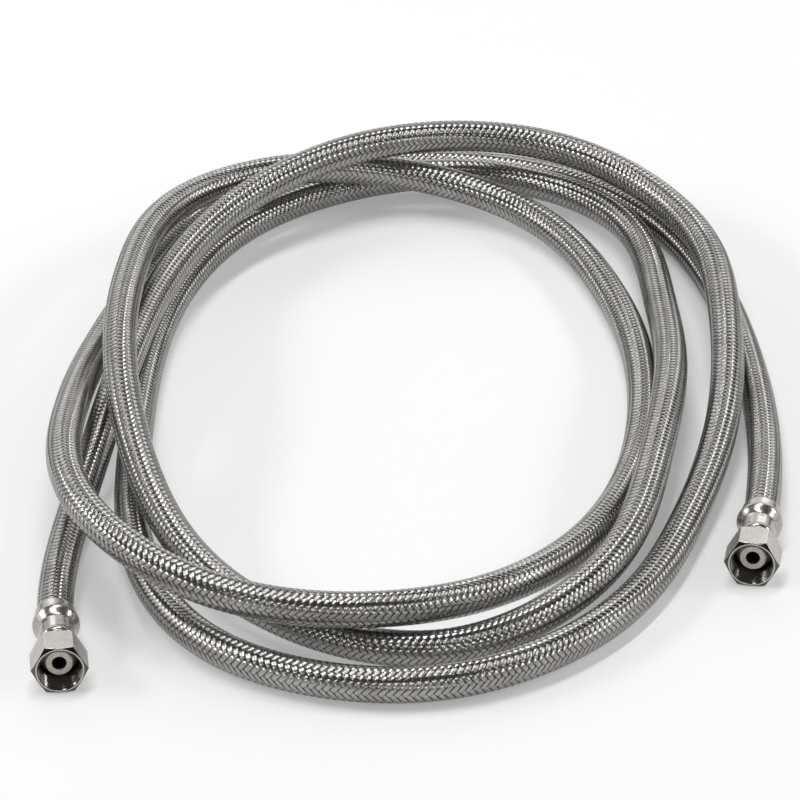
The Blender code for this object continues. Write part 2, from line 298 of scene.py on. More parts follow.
def new_mesh(name, points, wrap_rows=False, wrap_columns=False, attributes=None):
    """A piece made of quads between the points of a grid, or of several grids.

    The points are an array (grids, rows, columns, 3). A grid closes on itself round its rows or
    its columns where asked. Each attribute is one number or vector a point, in the same layout.
    """
    grids, rows, columns = points.shape[:3]
    index = np.arange(grids * rows * columns).reshape(grids, rows, columns)
    if wrap_rows:
        index = np.concatenate([index, index[:, :1]], axis=1)
    if wrap_columns:
        index = np.concatenate([index, index[:, :, :1]], axis=2)
    corners = (index[:, :-1, :-1], index[:, :-1, 1:], index[:, 1:, 1:], index[:, 1:, :-1])
    quads = np.stack(corners, axis=-1).reshape(-1, 4)
    mesh = bpy.data.meshes.new(name)
    mesh.vertices.add(grids * rows * columns)
    mesh.vertices.foreach_set("co", points.astype(np.float32).ravel())
    mesh.loops.add(quads.size)
    mesh.loops.foreach_set("vertex_index", quads.astype(np.int32).ravel())
    mesh.polygons.add(len(quads))
    mesh.polygons.foreach_set("loop_start", np.arange(0, quads.size, 4, dtype=np.int32))
    mesh.update(calc_edges=True)
    mesh.shade_smooth()
    for key, values in (attributes or {}).items():
        kind, slot = ("FLOAT_VECTOR", "vector") if values.ndim == 4 else ("FLOAT", "value")
        layer = mesh.attributes.new(key, kind, "POINT")
        layer.data.foreach_set(slot, values.astype(np.float32).ravel())
    piece = bpy.data.objects.new(name, mesh)
    bpy.context.scene.collection.objects.link(piece)
    return piece


def put_on(piece, body, material, slot, *replaced):
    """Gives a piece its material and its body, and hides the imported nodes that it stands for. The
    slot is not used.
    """
    piece.data.materials.append(material)
    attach(piece, body)
    if replaced:
        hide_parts(*replaced)


def smooth_curve(points, samples):
    """A natural cubic spline through the points, with the length of their chords as its parameter."""
    chord = np.r_[0.0, np.cumsum(np.linalg.norm(np.diff(points, axis=0), axis=1))]
    step = np.diff(chord)
    slope = np.diff(points, axis=0) / step[:, None]
    size = len(points)
    system = np.eye(size)
    load = np.zeros((size, 3))
    for i in range(1, size - 1):
        system[i, i - 1 : i + 2] = step[i - 1], 2 * (step[i - 1] + step[i]), step[i]
        load[i] = 6 * (slope[i] - slope[i - 1])
    bend = np.linalg.solve(system, load)
    at = np.linspace(0.0, chord[-1], samples)
    i = np.clip(np.searchsorted(chord, at, side="right") - 1, 0, size - 2)
    before = (at - chord[i])[:, None]
    after = (chord[i + 1] - at)[:, None]
    span = step[i][:, None]
    bent = (bend[i] * after**3 + bend[i + 1] * before**3) / (6 * span)
    straight = (points[i] / span - bend[i] * span / 6) * after
    return bent + straight + (points[i + 1] / span - bend[i + 1] * span / 6) * before


class Fitting:
    """The frame of one end fitting: its mouth's middle and its side, up and back directions."""

    def __init__(self, side):
        joint = JOINTS[side]
        self.side_name = side
        self.mouth = np.array(joint["pos_m"])
        self.back = unit(np.array(joint["axis"], float))
        self.up = np.array([0.0, 0.0, 1.0])
        self.side = np.cross(self.up, self.back)

    def on_axis(self, place):
        """The point of the axis at a place."""
        return self.mouth + place * self.back

    def span(self, node):
        """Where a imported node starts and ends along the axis."""
        mesh = frame["nodes"][node + "_" + self.side_name].data
        points = np.empty(len(mesh.vertices) * 3, np.float32)
        mesh.vertices.foreach_get("co", points)
        places = (points.reshape(-1, 3) - self.mouth) @ self.back
        return float(places.min()), float(places.max())

    def turned(self, radius, place, angle):
        """Points at a radius and a place along the axis, at an angle round it, for whole arrays."""
        radius, place, angle = np.broadcast_arrays(radius, place, angle)
        across = np.cos(angle)[..., None] * self.side + np.sin(angle)[..., None] * self.up
        return self.mouth + place[..., None] * self.back + radius[..., None] * across


FITTINGS = {side: Fitting(side) for side in SIDES}
AXIS_HEIGHT = FITTINGS["left"].mouth[2]
NUT_LENGTH = FITTINGS["left"].span("coupling_nut")[1]
FERRULE_FRONT, FERRULE_END = FITTINGS["left"].span("ferrule")
SEAL_FRONT, SEAL_BACK = FITTINGS["left"].span("cone_seal")
CRIMP_START = FERRULE_FRONT + FERRULE_LIP
CRIMP_END = CRIMP_START + CRIMP_LENGTH
BEAD_END = CRIMP_END + BEAD_LENGTH
HOSE_START = CRIMP_START + SEAT_GAP
HOSE_FREE = FERRULE_END + SEAT_GAP


class HoseLine:
    """The hose's middle line, from one crimp to the other, with a frame that doesn't twist.

    The frame starts from the horizontal across the line. The angle that this turns round the line
    is summed along it and taken off again, so what is left turns only as the line itself bends.
    """

    SAMPLES = 6000

    def __init__(self):
        left, right = FITTINGS["left"], FITTINGS["right"]
        own = (np.array(ROUTE) - (*COIL_MIDDLE, 0.0)) * MM
        ends = [left.on_axis(HOSE_START), left.on_axis(HOSE_FREE)]
        far = [right.on_axis(HOSE_FREE), right.on_axis(HOSE_START)]
        self.points = smooth_curve(np.vstack([ends, own, far]), self.SAMPLES)
        step = np.linalg.norm(np.diff(self.points, axis=0), axis=1)
        self.at = np.r_[0.0, np.cumsum(step)]
        self.length = self.at[-1]
        self.along = unit(np.gradient(self.points, self.at, axis=0))
        level = unit(np.cross([0.0, 0.0, 1.0], self.along))
        upper = np.cross(self.along, level)
        turning = np.einsum("ij,ij->i", np.gradient(level, axis=0), upper)
        angle = -np.cumsum(turning)[:, None]
        self.first = np.cos(angle) * level + np.sin(angle) * upper
        self.second = np.cross(self.along, self.first)

    def look_up(self, table, at):
        """Values of a table of vectors at these lengths along the line."""
        return np.stack([np.interp(at, self.at, table[:, k]) for k in range(3)], axis=-1)

    def around(self, at, angle, radius):
        """Points at this length along the line, at an angle round it and a radius from it."""
        outward = self.outward(at, angle)
        return self.look_up(self.points, at) + radius[..., None] * outward

    def outward(self, at, angle):
        """The direction away from the line at a length along it and an angle round it."""
        first = self.look_up(self.first, at)
        second = self.look_up(self.second, at)
        return unit(np.cos(angle)[..., None] * first + np.sin(angle)[..., None] * second)


LINE = HoseLine()


def hose_layer(name, radius, crimped, wall, step):
    """A closed tube along the whole hose: its outside from left to right, then its bore back again.

    Its radius is the crimped one inside the ferrules, and grows to the full one under the bead.
    """
    at = np.linspace(0.0, LINE.length, int(LINE.length / step))
    from_end = np.minimum(at, LINE.length - at)
    fullness = smooth_ramp(from_end, CRIMP_END - HOSE_START, BEAD_END - HOSE_START)
    outside = crimped + (radius - crimped) * fullness
    radii = np.r_[outside, outside[::-1] - wall][:, None]
    places = np.r_[at, at[::-1]][:, None]
    angle = np.arange(LAYER_COLUMNS)[None, :] * math.tau / LAYER_COLUMNS
    places, angle, radii = np.broadcast_arrays(places, angle, radii)
    points = LINE.around(places, angle, radii)[None]
    return new_mesh(name, points, wrap_rows=True, wrap_columns=True)


def smooth_ramp(value, low, high):
    """0 below low, 1 above high, and an S-shaped rise between them."""
    share = np.clip((value - low) / (high - low), 0.0, 1.0)
    return share * share * (3 - 2 * share)


def weave_height(place):
    """How high a bundle lies, from -1 (under) to 1 (over), by its place counted in crossings.

    A cosine with its top between crossings 0 and 1, stretched and cut flat, so that the bundle
    runs level over both and turns down before crossing 2.
    """
    wave = np.cos(math.tau / REPEAT * (place - 0.5))
    return np.sin(np.clip(wave / LEVEL_ABOVE, -1.0, 1.0) * math.pi / 2)


def bundle_points(hose, direction, carriers, start, end):
    """Grid points of the bundles that turn one way, and the point values that their material reads.

    On the unrolled hose, p and q count bundles: p is constant along a right-hand bundle and q
    along a left-hand one. The angle round the hose is (p + q) / 2 bundle spacings, and the length
    along it is (q - p) / 2 pitches. A bundle's rows follow the bundles that it crosses. Its radius
    is that of the sleeve, plus the weave's height, plus a crown that falls off towards its edges.
    """
    pitch = hose.lead / CARRIERS
    turns = 2 * (end - start) / pitch
    carrier = np.asarray(carriers, float)[:, None, None]
    first = 2 * carrier if direction > 0 else 1 - 2 * carrier
    first = REPEAT * np.ceil(first / REPEAT)
    periods = int((turns - REPEAT) / REPEAT)
    rows = (REPEAT * np.arange(periods)[:, None] + np.array(ROW_PLACES)).ravel()[None, :, None]
    crossing = first + rows
    across = np.array(ACROSS_PLACES)[None, None, :]
    half = hose.bundle_share / 2
    if direction > 0:
        q = crossing - carrier
        p = carrier + half * across
    else:
        p = 1 - carrier - crossing
        q = carrier + half * across
    at = start + (q - p) / 2 * pitch
    angle = (p + q) / 2 * math.tau / CARRIERS + hose.twist * at
    height = weave_height(crossing) if direction > 0 else -weave_height(1 - crossing)
    crown = hose.crown * (1 - np.abs(across) ** CROWN_POWER)
    middle = hose.diameter / 2 - hose.crown - hose.weave_depth / 2
    radius = middle + hose.weave_depth / 2 * height + crown
    points = LINE.around(at, angle, radius)
    wires = np.gradient(points.mean(axis=2), axis=1)
    wires = np.repeat(unit(wires)[:, :, None, :], len(ACROSS_PLACES), axis=2)
    values = {"across": np.broadcast_to(across, at.shape), "along": at, "wire": wires}
    values["lift"] = np.broadcast_to(height, at.shape)
    return points, values


def hex_outline(apothem, fillet, fillet_points, flat_points):
    """Angle and radius of points round a hexagon with rounded corners, flats above and below.

    A corner is an arc of the fillet's radius about a point on the corner's own line, and the
    points of a flat are spread towards its ends, so that the flat stays flat under smooth shading.
    """
    pivot = (apothem - fillet) / math.cos(HEX_HALF)
    turn = np.linspace(-HEX_HALF, HEX_HALF, fillet_points)
    arc = np.stack([pivot + fillet * np.cos(turn), fillet * np.sin(turn)], axis=1)
    reach = apothem * math.tan(HEX_HALF) - fillet * math.tan(HEX_HALF)
    spread = np.sin(np.linspace(-1, 1, flat_points + 2)[1:-1] * math.pi / 2) * FLAT_REACH
    flat = np.stack([np.full(flat_points, apothem), spread * reach], axis=1)
    cosine, sine = math.cos(HEX_HALF), math.sin(HEX_HALF)
    flat = flat @ np.array([[cosine, sine], [-sine, cosine]])
    sector = np.vstack([arc, flat])
    angles, radii = [], []
    for corner in range(6):
        angles.append(np.arctan2(sector[:, 1], sector[:, 0]) + corner * math.tau / 6)
        radii.append(np.hypot(sector[:, 0], sector[:, 1]))
    return np.concatenate(angles), np.concatenate(radii)


def eased_edge(before, edge, after, size):
    """Five (radius, place) rows that round an edge between two others, for whole arrays.

    Each row is an array of both numbers. The rounding starts this far from the edge on each side
    and follows a parabola, and a spare row before and after it keeps the faces beside it flat.
    """
    back = unit_rows(before - edge)
    ahead = unit_rows(after - edge)
    start, end = edge + size * back, edge + size * ahead
    middle = (start + 2 * edge + end) / 4
    return [start + size * back, start, middle, end, end + size * ahead]


def unit_rows(row):
    """A (2, n) array of directions, each at length 1."""
    return row / np.maximum(np.hypot(row[0], row[1]), NO_LENGTH)


def profile_row(radius, place, count):
    """One row at the same radius and place all round."""
    return np.array([np.full(count, radius), np.full(count, place)])


def shaded(rows, shade):
    """The rows with how much painted shade darkens their metal, from 0 (none) to 1 (black), as a third
    number.
    """
    return [np.vstack([row, np.full(row.shape[1], shade)]) for row in rows]


def rounded_profile(corners, count):
    """Rows of a closed turned profile, each corner (radius, place, rounding) eased."""
    rows = []
    for i, (radius, place, rounding) in enumerate(corners):
        before = profile_row(*corners[i - 1][:2], count)
        after = profile_row(*corners[(i + 1) % len(corners)][:2], count)
        edge = profile_row(radius, place, count)
        rows += eased_edge(before, edge, after, rounding) if rounding else [edge]
    return rows


def turned_piece(name, fitting, rows, angle):
    """A closed ring of rows of (radius, place, shade) carried round a fitting's axis."""
    rows = np.stack(rows)
    radius, place, shade = rows[:, 0], rows[:, 1], rows[:, 2]
    points = fitting.turned(radius, place, angle[None, :])
    values = {"place": place[None], "radius": radius[None], "shade": shade[None]}
    return new_mesh(name, points[None], wrap_rows=True, wrap_columns=True, attributes=values)


def thread_height(angle, place, pitch):
    """From 0 at a crest to 1 at a root, along a helix that climbs one pitch a turn.

    A triangle wave with a share of a cosine in it, which rounds its crests and roots.
    """
    phase = (place / pitch - angle / math.tau) % 1.0
    triangle = 1 - np.abs(2 * phase - 1)
    rounded = 0.5 - 0.5 * np.cos(math.tau * phase)
    return THREAD_STRAIGHT * triangle + (1 - THREAD_STRAIGHT) * rounded


def nut_rows(sizes):
    """Angles and closed rows of the swivel nut: hexagon, turned ends, back, lip and threaded bore.

    A turned end slopes back by (radius - start) * tan(chamfer). The bore's radius is the thread's
    inner one plus depth * fade * thread_height, and no less than the lead-in cone's.
    """
    apothem = AXIS_HEIGHT
    angle, outline = hex_outline(apothem, CORNER_FILLET, CORNER_POINTS, FLAT_POINTS)
    count = len(angle)
    start = sizes.chamfer_start * apothem
    rise = (outline - start) * math.tan(sizes.chamfer)
    soft = np.minimum(EDGE_ROUNDING, EDGE_SHARE * rise)
    face = profile_row(start, 0.0, count)
    edge = np.array([outline, rise])
    far_edge = np.array([outline, NUT_LENGTH - rise])
    back_face = profile_row(start, NUT_LENGTH, count)
    lip_back = profile_row(sizes.lip_hole, NUT_LENGTH, count)
    mouth = profile_row(sizes.mouth_radius, 0.0, count)
    front = eased_edge(mouth, face, edge, FACE_ROUNDING)
    corner = eased_edge(face, edge, far_edge, soft)
    # Painted shade darkens the front chamfer
    rows = shaded(front[1:3], 0.0) + shaded(front[3:4], CUT_SHADE)
    rows += shaded(corner[:2], CUT_SHADE) + shaded(corner[2:], 0.0)
    rows += shaded(eased_edge(edge, far_edge, back_face, soft), 0.0)
    rows += shaded(eased_edge(far_edge, back_face, lip_back, FACE_ROUNDING)[1:4], 0.0)
    lip_front = NUT_LENGTH - sizes.rear_lip
    lip = [lip_back, profile_row(sizes.lip_hole, lip_front, count)]
    lip += [profile_row(sizes.thread_inner, lip_front, count)]
    # Painted shade darkens the lip and the threaded bore
    rows += shaded(lip, BORE_SHADE)
    threads = []
    for place in np.linspace(lip_front - THREAD_START, RIM_STEP, THREAD_ROWS):
        fade = smooth_ramp(lip_front - place, *THREAD_FADE)
        cut = sizes.thread_depth * fade * thread_height(angle, place, sizes.thread_pitch)
        radius = np.maximum(sizes.thread_inner + cut, sizes.mouth_radius - place)
        threads.append(np.array([radius, np.full(count, place)]))
    rows += shaded(threads, BORE_SHADE)
    rows += shaded([profile_row(sizes.mouth_radius + RIM_STEP, 0.0, count)], 0.0)
    return angle, rows


def ferrule_rows(sizes, columns):
    """Angles and closed rows of the crimped sleeve.

    Its outline has a rounded shoulder, a neck that the die's jaws pressed into flats, a raised
    bead and a skirt that narrows to the hose. A flat's radius is that of a polygon's side,
    PRESSED / cos(turn from the flat's middle), cut off where it would stand past the neck.
    """
    angle = np.arange(columns) * math.tau / columns
    half = math.pi / sizes.crimp_faces
    turned_to = (angle + half / 2) % (2 * half) - half
    polygon = np.minimum(PRESSED / np.cos(turned_to), NECK)
    bead_middle = (CRIMP_END + BEAD_END) / 2
    rows = [profile_row(FRONT - EDGE_ROUNDING, FERRULE_FRONT, columns)]
    rows += [profile_row(FRONT, FERRULE_FRONT + EDGE_ROUNDING, columns)]
    rows += [profile_row(FRONT, SHOULDER_START, columns)]
    for turn in np.linspace(0.0, math.pi / 2, SHOULDER_STEPS):
        place = SHOULDER_START + (SHOULDER_END - SHOULDER_START) * (1 - math.cos(turn))
        rows.append(profile_row(FRONT + (COLLAR - FRONT) * math.sin(turn), place, columns))
    for place in np.linspace(NECK_START, BEAD_START, NECK_STEPS):
        settle = smooth_ramp(place, SHOULDER_END, COLLAR_END)
        press = settle * (1 - smooth_ramp(place, PRESS_END, NECK_END))
        radius = COLLAR + (NECK - COLLAR) * settle + (polygon - NECK) * press
        rows.append(np.array([radius, np.full(columns, place)]))
    for place in np.linspace(BEAD_START, bead_middle, RISE_STEPS)[1:]:
        rise = smooth_ramp(place, BEAD_START, bead_middle)
        rows.append(profile_row(NECK + (BEAD_TOP - NECK) * rise, place, columns))
    for place in np.linspace(bead_middle, BEAD_END, FALL_STEPS)[1:]:
        fall = smooth_ramp(place, bead_middle, BEAD_END)
        rows.append(profile_row(BEAD_TOP + (SKIRT + FLARE - BEAD_TOP) * fall, place, columns))
    for share in SKIRT_SHARES:
        place = BEAD_END + share * (FERRULE_END - BEAD_END)
        rows.append(profile_row(SKIRT + FLARE * (1 - share), place, columns))
    for inset, back in SKIRT_RIM:
        rows.append(profile_row(SKIRT - inset, FERRULE_END - back, columns))
    # The ferrule's inside is darkened with painted shade
    inside = (
        (SKIRT_BORE, FERRULE_END - SKIRT_INSIDE), (SKIRT_BORE, BEAD_END), (SKIRT_BORE, bead_middle),
        (FERRULE_BORE, CRIMP_END), (FERRULE_BORE, CRIMP_START),
        (sizes.lip_hole, CRIMP_START), (sizes.lip_hole, FERRULE_FRONT),
    )
    inside = [profile_row(radius, place, columns) for radius, place in inside]
    return angle, shaded(rows, 0.0) + shaded(inside, INSIDE_SHADE)


class Graph:
    """Short ways to add and join shader nodes in one tree."""

    def __init__(self, tree):
        self.tree = tree

    def add(self, kind, **settings):
        """A new node with these of its own settings."""
        node = self.tree.nodes.new(kind)
        for key, value in settings.items():
            setattr(node, key, value)
        return node

    def join(self, source, target):
        """Links an output to an input."""
        self.tree.links.new(source, target)

    def feed(self, value, socket):
        """Links another node's socket, or sets a plain number or colour."""
        if isinstance(value, bpy.types.NodeSocket):
            self.join(value, socket)
        else:
            socket.default_value = value

    def maths(self, operation, first, second=0.0, third=0.0):
        """The result of one sum on numbers."""
        node = self.add("ShaderNodeMath", operation=operation)
        for socket, value in zip(node.inputs, (first, second, third)):
            self.feed(value, socket)
        return node.outputs[0]

    def vectors(self, operation, *values):
        """The result of one sum on vectors."""
        node = self.add("ShaderNodeVectorMath", operation=operation)
        for socket, value in zip(node.inputs, values):
            self.feed(value, socket)
        return node.outputs[0]

    def attribute(self, name):
        """A node that reads a point value of the piece."""
        return self.add("ShaderNodeAttribute", attribute_name=name)

    def noise(self, vector, scale, detail=2.0, roughness=0.5):
        """Soft noise about 0.5, read at a vector."""
        node = self.add("ShaderNodeTexNoise")
        self.join(vector, node.inputs["Vector"])
        self.feed(scale, node.inputs["Scale"])
        node.inputs["Detail"].default_value = detail
        node.inputs["Roughness"].default_value = roughness
        return node.outputs[0]

    def spread(self, value, low, high, to_low, to_high):
        """An S-shaped change from one number to another while a value goes from low to high."""
        node = self.add("ShaderNodeMapRange", interpolation_type="SMOOTHSTEP")
        numbers = (value, low, high, to_low, to_high)
        for socket, number in zip(node.inputs, numbers):
            self.feed(number, socket)
        return node.outputs[0]

    def mix(self, share, first, second, blend="MIX"):
        """A share of the second colour laid on the first."""
        node = self.add("ShaderNodeMix", data_type="RGBA", blend_type=blend)
        for key, value in (("Factor_Float", share), ("A_Color", first), ("B_Color", second)):
            socket = next(s for s in node.inputs if s.identifier == key)
            self.feed(value, socket)
        return next(s for s in node.outputs if s.identifier == "Result_Color")


def new_group(name, inputs, outputs):
    """An empty shader group with named sockets: its graph, its input node and its output node."""
    tree = bpy.data.node_groups.new(name, "ShaderNodeTree")
    for key, kind, default in inputs:
        socket = tree.interface.new_socket(name=key, in_out="INPUT", socket_type=kind)
        socket.default_value = default
    for key, kind in outputs:
        tree.interface.new_socket(name=key, in_out="OUTPUT", socket_type=kind)
    graph = Graph(tree)
    return graph, graph.add("NodeGroupInput"), graph.add("NodeGroupOutput")


def cloudy_group():
    """Broad soft changes of tone, as on metal that has been handled and stored."""
    graph, given, out = new_group(
        "cloudy tone",
        [
            ("Colour", "NodeSocketColor", (0.5, 0.5, 0.5, 1.0)),
            ("Tint", "NodeSocketColor", (0.45, 0.43, 0.4, 1.0)),
            ("Amount", "NodeSocketFloat", 0.3),
            ("Size", "NodeSocketFloat", 60.0),
        ],
        [("Colour", "NodeSocketColor")],
    )
    place = graph.add("ShaderNodeTexCoord").outputs["Object"]
    cloud = graph.noise(place, given.outputs["Size"], 3.0, 0.55)
    mask = graph.spread(cloud, 0.35, 0.7, 0.0, 1.0)
    share = graph.maths("MULTIPLY", mask, given.outputs["Amount"])
    mixed = graph.mix(share, given.outputs["Colour"], given.outputs["Tint"])
    graph.join(mixed, out.inputs["Colour"])
    return graph.tree


def turning_group():
    """Fine rings left by turning, and the small grains of a satin plate: one height and one mask."""
    graph, given, out = new_group(
        "turning marks",
        [
            ("Rings", "NodeSocketFloat", 9000.0),
            ("Grain", "NodeSocketFloat", 2500.0),
            ("Grain share", "NodeSocketFloat", 0.4),
        ],
        [("Height", "NodeSocketFloat"), ("Mask", "NodeSocketFloat")],
    )
    place = graph.attribute("place").outputs["Fac"]
    radius = graph.attribute("radius").outputs["Fac"]
    both = graph.add("ShaderNodeCombineXYZ")
    graph.join(place, both.inputs["X"])
    graph.join(radius, both.inputs["Y"])
    rings = graph.noise(both.outputs[0], given.outputs["Rings"], 2.0, 0.6)
    where = graph.add("ShaderNodeTexCoord").outputs["Object"]
    grain = graph.noise(where, given.outputs["Grain"], 3.0, 0.65)
    share = graph.maths("MULTIPLY", grain, given.outputs["Grain share"])
    rest = graph.maths("SUBTRACT", 1.0, given.outputs["Grain share"])
    height = graph.maths("MULTIPLY_ADD", rings, rest, share)
    graph.join(height, out.inputs["Height"])
    graph.join(graph.spread(grain, 0.3, 0.7, 0.0, 1.0), out.inputs["Mask"])
    return graph.tree


def wire_group():
    """A bundle's shading, from its point values: each wire's tone, openness to light and roundness.

    The bundle's edges and the stretches that pass under others lie in painted shade, and thin
    painted lines of shade run between the wires. Across a wire, from its edge at -1 to its edge at 1,
    the normal leans sideways: N + x * Roundness * (wire x N).
    """
    graph, given, out = new_group(
        "wires of a bundle",
        [
            ("Wires", "NodeSocketFloat", 7.0),
            ("Depth", "NodeSocketFloat", 0.2),
            ("Roundness", "NodeSocketFloat", 1.0),
        ],
        [("Open", "NodeSocketFloat"), ("Tone", "NodeSocketFloat"), ("Normal", "NodeSocketVector")],
    )
    across = graph.attribute("across").outputs["Fac"]
    half = graph.maths("MULTIPLY", given.outputs["Wires"], 0.5)
    place = graph.maths("MULTIPLY_ADD", across, half, half)
    within = graph.maths("FRACT", place)
    middle = graph.maths("MULTIPLY_ADD", within, 2.0, -1.0)
    square = graph.maths("MULTIPLY", middle, middle)
    height = graph.maths("SQRT", graph.maths("SUBTRACT", 1.02, square))
    # Painted shade: thin dark lines between the wires, and darker edges and under stretches
    painted_gap_shade = graph.spread(height, 0.15, 0.6, 0.7, 1.0)
    edge = graph.spread(graph.maths("ABSOLUTE", across), 0.6, 1.0, 1.0, given.outputs["Depth"])
    lift = graph.attribute("lift").outputs["Fac"]
    over = graph.spread(lift, -0.6, 0.7, given.outputs["Depth"], 1.0)
    sheltered = graph.maths("MULTIPLY", edge, over)
    graph.join(graph.maths("MULTIPLY", sheltered, painted_gap_shade), out.inputs["Open"])
    both = graph.add("ShaderNodeCombineXYZ")
    along = graph.attribute("along").outputs["Fac"]
    graph.join(graph.maths("MULTIPLY", along, TONE_CHANGES), both.inputs["X"])
    graph.join(graph.maths("FLOOR", place), both.inputs["Y"])
    graph.join(graph.noise(both.outputs[0], 1.7, 1.0), out.inputs["Tone"])
    wire = graph.add("ShaderNodeVectorTransform", convert_from="OBJECT", convert_to="WORLD")
    graph.join(graph.attribute("wire").outputs["Vector"], wire.inputs[0])
    normal = graph.add("ShaderNodeNewGeometry").outputs["Normal"]
    sideways = graph.vectors("CROSS_PRODUCT", wire.outputs[0], normal)
    lean = graph.maths("MULTIPLY", middle, given.outputs["Roundness"])
    round_normal = graph.vectors("MULTIPLY_ADD", sideways, lean, normal)
    graph.join(graph.vectors("NORMALIZE", round_normal), out.inputs["Normal"])
    return graph.tree


def new_material(name, colour, roughness, metallic):
    """A material with a Principled shader at these plain values, and its graph."""
    material = bpy.data.materials.new(name)
    material.use_nodes = True
    graph = Graph(material.node_tree)
    shader = material.node_tree.nodes["Principled BSDF"]
    shader.inputs["Base Color"].default_value = (*colour, 1.0)
    shader.inputs["Roughness"].default_value = roughness
    shader.inputs["Metallic"].default_value = metallic
    return material, graph, shader


GROUPS = {
    "cloudy tone": cloudy_group,
    "turning marks": turning_group,
    "wires of a bundle": wire_group,
}


def place_group(graph, name, **values):
    """A node for a shared group, which is built once, with values for its sockets.

    An underscore in a socket's name stands for a space.
    """
    tree = bpy.data.node_groups.get(name) or GROUPS[name]()
    node = graph.add("ShaderNodeGroup", node_tree=tree)
    for key, value in values.items():
        graph.feed(value, node.inputs[key.replace("_", " ")])
    return node


def bump(graph, shader, height, distance, strength):
    """Lets a height lean the shader's normal."""
    node = graph.add("ShaderNodeBump")
    node.inputs["Distance"].default_value = distance
    node.inputs["Strength"].default_value = strength
    graph.join(height, node.inputs["Height"])
    graph.join(node.outputs["Normal"], shader.inputs["Normal"])


def tone(colour, share, warmth=1.0):
    """A colour made darker or lighter, and a little warmer, as a shader colour."""
    red, green, blue = colour
    return (red * share * warmth, green * share, blue * share / warmth, 1.0)


def clouded(graph, colour, light, dark, warmth, amount, size):
    """A colour that drifts between its light tone and its dark, warmer one."""
    cloud = place_group(
        graph, "cloudy tone", Colour=tone(colour, light), Tint=tone(colour, dark, warmth),
        Amount=amount, Size=size,
    )
    return cloud.outputs["Colour"]


def turning_marks(graph, marks):
    """The shared turning marks with these rings, grain and grain share."""
    rings, grain, share = marks
    return place_group(graph, "turning marks", Rings=rings, Grain=grain, Grain_share=share)


def wire_material(finish):
    """Bright drawn wire: light spreads across the wires and stays sharp along them."""
    material, graph, shader = new_material("woven_wire", finish.wire, roughness=0.26, metallic=1.0)
    cloud = clouded(graph, finish.wire, light=1.0, dark=0.72, warmth=1.03, amount=0.5, size=90.0)
    # The bundle group paints shade into the colour: Depth sets how dark the edges and under stretches
    # get
    wires = place_group(graph, "wires of a bundle", Wires=7.0, Depth=0.6, Roundness=0.15)
    graph.join(wires.outputs["Normal"], shader.inputs["Normal"])
    # The base colour: the wires' random tone times that painted shade
    varied = graph.spread(wires.outputs["Tone"], 0.3, 0.7, 0.86, 1.0)
    shade = graph.maths("MULTIPLY", varied, wires.outputs["Open"])
    grey = graph.add("ShaderNodeCombineColor")
    for socket in grey.inputs[:3]:
        graph.join(shade, socket)
    graph.join(graph.mix(1.0, cloud, grey.outputs[0], "MULTIPLY"), shader.inputs["Base Color"])
    shader.inputs["Anisotropic"].default_value = 1.0
    shader.inputs["Anisotropic Rotation"].default_value = 0.25
    graph.join(graph.attribute("wire").outputs["Vector"], shader.inputs["Tangent"])
    return material


def shade_material(finish):
    """Painted shade under the weave: a near-black tube that stands for the shaded wires and liner."""
    material, graph, shader = new_material("weave_shade", finish.shade, roughness=0.6, metallic=0.6)
    cloud = clouded(graph, finish.shade, light=1.0, dark=0.5, warmth=1.0, amount=1.0, size=500.0)
    graph.join(cloud, shader.inputs["Base Color"])
    return material


def turned_metal(name, colour, roughness, spread, marks, relief):
    """Metal with turning rings and a satin grain: nut, ferrule and insert have their own values."""
    material, graph, shader = new_material(name, colour, roughness, metallic=1.0)
    cloud = clouded(graph, colour, light=1.0, dark=0.8, warmth=1.04, amount=0.6, size=260.0)
    # Painted shade: the shade point value mixes a near-black colour into the cuts and bores, and makes
    # them smoother
    painted_shade = graph.attribute("shade").outputs["Fac"]
    graph.join(graph.mix(painted_shade, cloud, PAINTED_SHADE_COLOUR), shader.inputs["Base Color"])
    turning = turning_marks(graph, marks)
    rough = graph.spread(turning.outputs["Mask"], 0.0, 1.0, roughness - spread, roughness + spread)
    shade_smoothing = graph.maths("MULTIPLY_ADD", painted_shade, -0.6, 1.0)
    graph.join(graph.maths("MULTIPLY", rough, shade_smoothing), shader.inputs["Roughness"])
    bump(graph, shader, turning.outputs["Height"], relief, 0.6)
    return material


def seal_material(finish):
    """Matte moulded seal with a fine speckle, and painted shade that darkens its hole."""
    material, graph, shader = new_material("moulded_seal", finish.seal, roughness=0.62, metallic=0.0)
    cloud = clouded(graph, finish.seal, light=1.05, dark=0.82, warmth=1.02, amount=0.9, size=1800.0)
    # Painted shade: near black mixed into the hole's wall
    radius = graph.attribute("radius").outputs["Fac"]
    inside = graph.spread(radius, SEAL_HOLE, HOLE_SHADE_END, HOLE_SHADE, 0.0)
    graph.join(graph.mix(inside, cloud, PAINTED_SHADE_COLOUR), shader.inputs["Base Color"])
    turning = turning_marks(graph, SEAL_MARKS)
    bump(graph, shader, turning.outputs["Height"], SEAL_RELIEF, 0.4)
    return material


def liner_material(finish):
    """Milky polymer tube, smooth and slightly clouded."""
    material, graph, shader = new_material("milky_liner", finish.liner, roughness=0.4, metallic=0.0)
    cloud = clouded(graph, finish.liner, light=1.0, dark=0.85, warmth=1.02, amount=0.8, size=200.0)
    graph.join(cloud, shader.inputs["Base Color"])
    return material


def shared_material(name, maker, *values):
    """The material of this name, made the first time that it is asked for."""
    return bpy.data.materials.get(name) or maker(*values)


def shared_metal(name, *values):
    """The turned metal of this name, made the first time that it is asked for."""
    return shared_material(name, turned_metal, name, *values)


